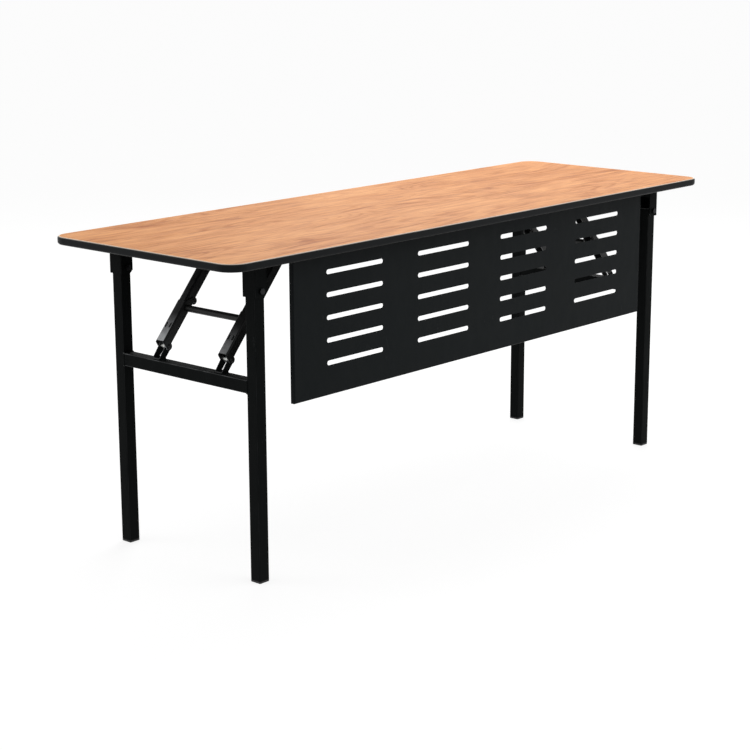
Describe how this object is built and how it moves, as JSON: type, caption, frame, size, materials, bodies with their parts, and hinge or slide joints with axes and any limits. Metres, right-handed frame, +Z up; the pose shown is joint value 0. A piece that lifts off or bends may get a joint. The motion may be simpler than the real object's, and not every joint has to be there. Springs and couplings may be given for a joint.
{
  "type": "folding conference table",
  "caption": "Oblong table with a wood-patterned top, black edge, slotted metal front panel and square-tube end frames that fold flat under the top on jointed braces.",
  "frame": {"origin": "on the floor, under the middle of the top", "axes": "+X along the table's length, -Y towards the slotted front panel, +Z up"},
  "size_m": [1.8, 0.6, 0.75],
  "materials": {
    "wood_laminate": "satin wood-pattern laminate",
    "core_board": "raw particle board",
    "backing_sheet": "matt balancing laminate",
    "edge_band": "satin plastic edge",
    "black_panel": "satin black powder coat",
    "black_frame": "satin black powder coat",
    "black_brace": "satin black powder coat",
    "black_rivets": "satin black powder coat",
    "black_bolts": "black oxide",
    "zinc_screws": "zinc plated",
    "sleeve_zinc": "zinc plated",
    "pivot_nylon": "black nylon",
    "foot_plastic": "matt moulded plastic"
  },
  "bodies": {
    "top": {"front_panel": "black_panel", "front_panel_screws": "zinc_screws", "left_anchor_rivets": "black_rivets", "left_anchor_screws": "zinc_screws", "left_bracket_screws": "zinc_screws", "left_front_brace_anchor": "black_brace", "left_front_leg_bracket": "black_frame", "left_leg_pivot_bolts": "black_bolts", "left_leg_pivot_nuts": "black_bolts", "left_leg_pivot_spacers": "pivot_nylon", "left_rear_brace_anchor": "black_brace", "left_rear_leg_bracket": "black_frame", "right_anchor_rivets": "black_rivets", "right_anchor_screws": "zinc_screws", "right_bracket_screws": "zinc_screws", "right_front_brace_anchor": "black_brace", "right_front_leg_bracket": "black_frame", "right_leg_pivot_bolts": "black_bolts", "right_leg_pivot_nuts": "black_bolts", "right_leg_pivot_spacers": "pivot_nylon", "right_rear_brace_anchor": "black_brace", "right_rear_leg_bracket": "black_frame", "top_backing_sheet": "backing_sheet", "top_core_board": "core_board", "top_edge_band": "edge_band", "top_wood_laminate": "wood_laminate"},
    "left_leg_frame": {"left_brace_sleeves": "sleeve_zinc", "left_crossbar": "black_frame", "left_front_brace_clevis": "black_brace", "left_front_foot_cap": "foot_plastic", "left_front_leg": "black_frame", "left_rear_brace_clevis": "black_brace", "left_rear_foot_cap": "foot_plastic", "left_rear_leg": "black_frame"},
    "left_upper_links": {"left_front_upper_link": "black_brace", "left_rear_upper_link": "black_brace"},
    "left_lower_links": {"left_brace_tie_rod": "black_brace", "left_clevis_rivets": "black_rivets", "left_front_lower_link": "black_brace", "left_knee_rivets": "black_rivets", "left_rear_lower_link": "black_brace"},
    "right_leg_frame": {"right_brace_sleeves": "sleeve_zinc", "right_crossbar": "black_frame", "right_front_brace_clevis": "black_brace", "right_front_foot_cap": "foot_plastic", "right_front_leg": "black_frame", "right_rear_brace_clevis": "black_brace", "right_rear_foot_cap": "foot_plastic", "right_rear_leg": "black_frame"},
    "right_upper_links": {"right_front_upper_link": "black_brace", "right_rear_upper_link": "black_brace"},
    "right_lower_links": {"right_brace_tie_rod": "black_brace", "right_clevis_rivets": "black_rivets", "right_front_lower_link": "black_brace", "right_knee_rivets": "black_rivets", "right_rear_lower_link": "black_brace"}
  },
  "joints": [
    {"name": "left_leg_fold", "type": "hinge", "parent": "top", "child": "left_leg_frame", "pos_m": [-0.757, 0, 0.668], "axis": [0, -1, 0], "range_deg": [0, 90]},
    {"name": "left_brace_swing", "type": "hinge", "parent": "top", "child": "left_upper_links", "pos_m": [-0.55, 0, 0.706], "axis": [0, 1, 0], "range_deg": [0, 48.76]},
    {"name": "left_brace_knee", "type": "hinge", "parent": "left_upper_links", "child": "left_lower_links", "pos_m": [-0.6509, 0, 0.58736], "axis": [0, -1, 0], "range_deg": [0, 174.27]},
    {"name": "right_leg_fold", "type": "hinge", "parent": "top", "child": "right_leg_frame", "pos_m": [0.757, 0, 0.668], "axis": [0, 1, 0], "range_deg": [0, 90]},
    {"name": "right_brace_swing", "type": "hinge", "parent": "top", "child": "right_upper_links", "pos_m": [0.55, 0, 0.706], "axis": [0, -1, 0], "range_deg": [0, 48.76]},
    {"name": "right_brace_knee", "type": "hinge", "parent": "right_upper_links", "child": "right_lower_links", "pos_m": [0.6509, 0, 0.58736], "axis": [0, 1, 0], "range_deg": [0, 174.27]}
  ],
  "couplings": [
    {"joint": "left_brace_swing", "follows": "left_leg_fold", "ratio": 0.54169},
    {"joint": "left_brace_knee", "follows": "left_leg_fold", "ratio": 1.9362},
    {"joint": "right_brace_swing", "follows": "right_leg_fold", "ratio": 0.54169},
    {"joint": "right_brace_knee", "follows": "right_leg_fold", "ratio": 1.9362}
  ]
}
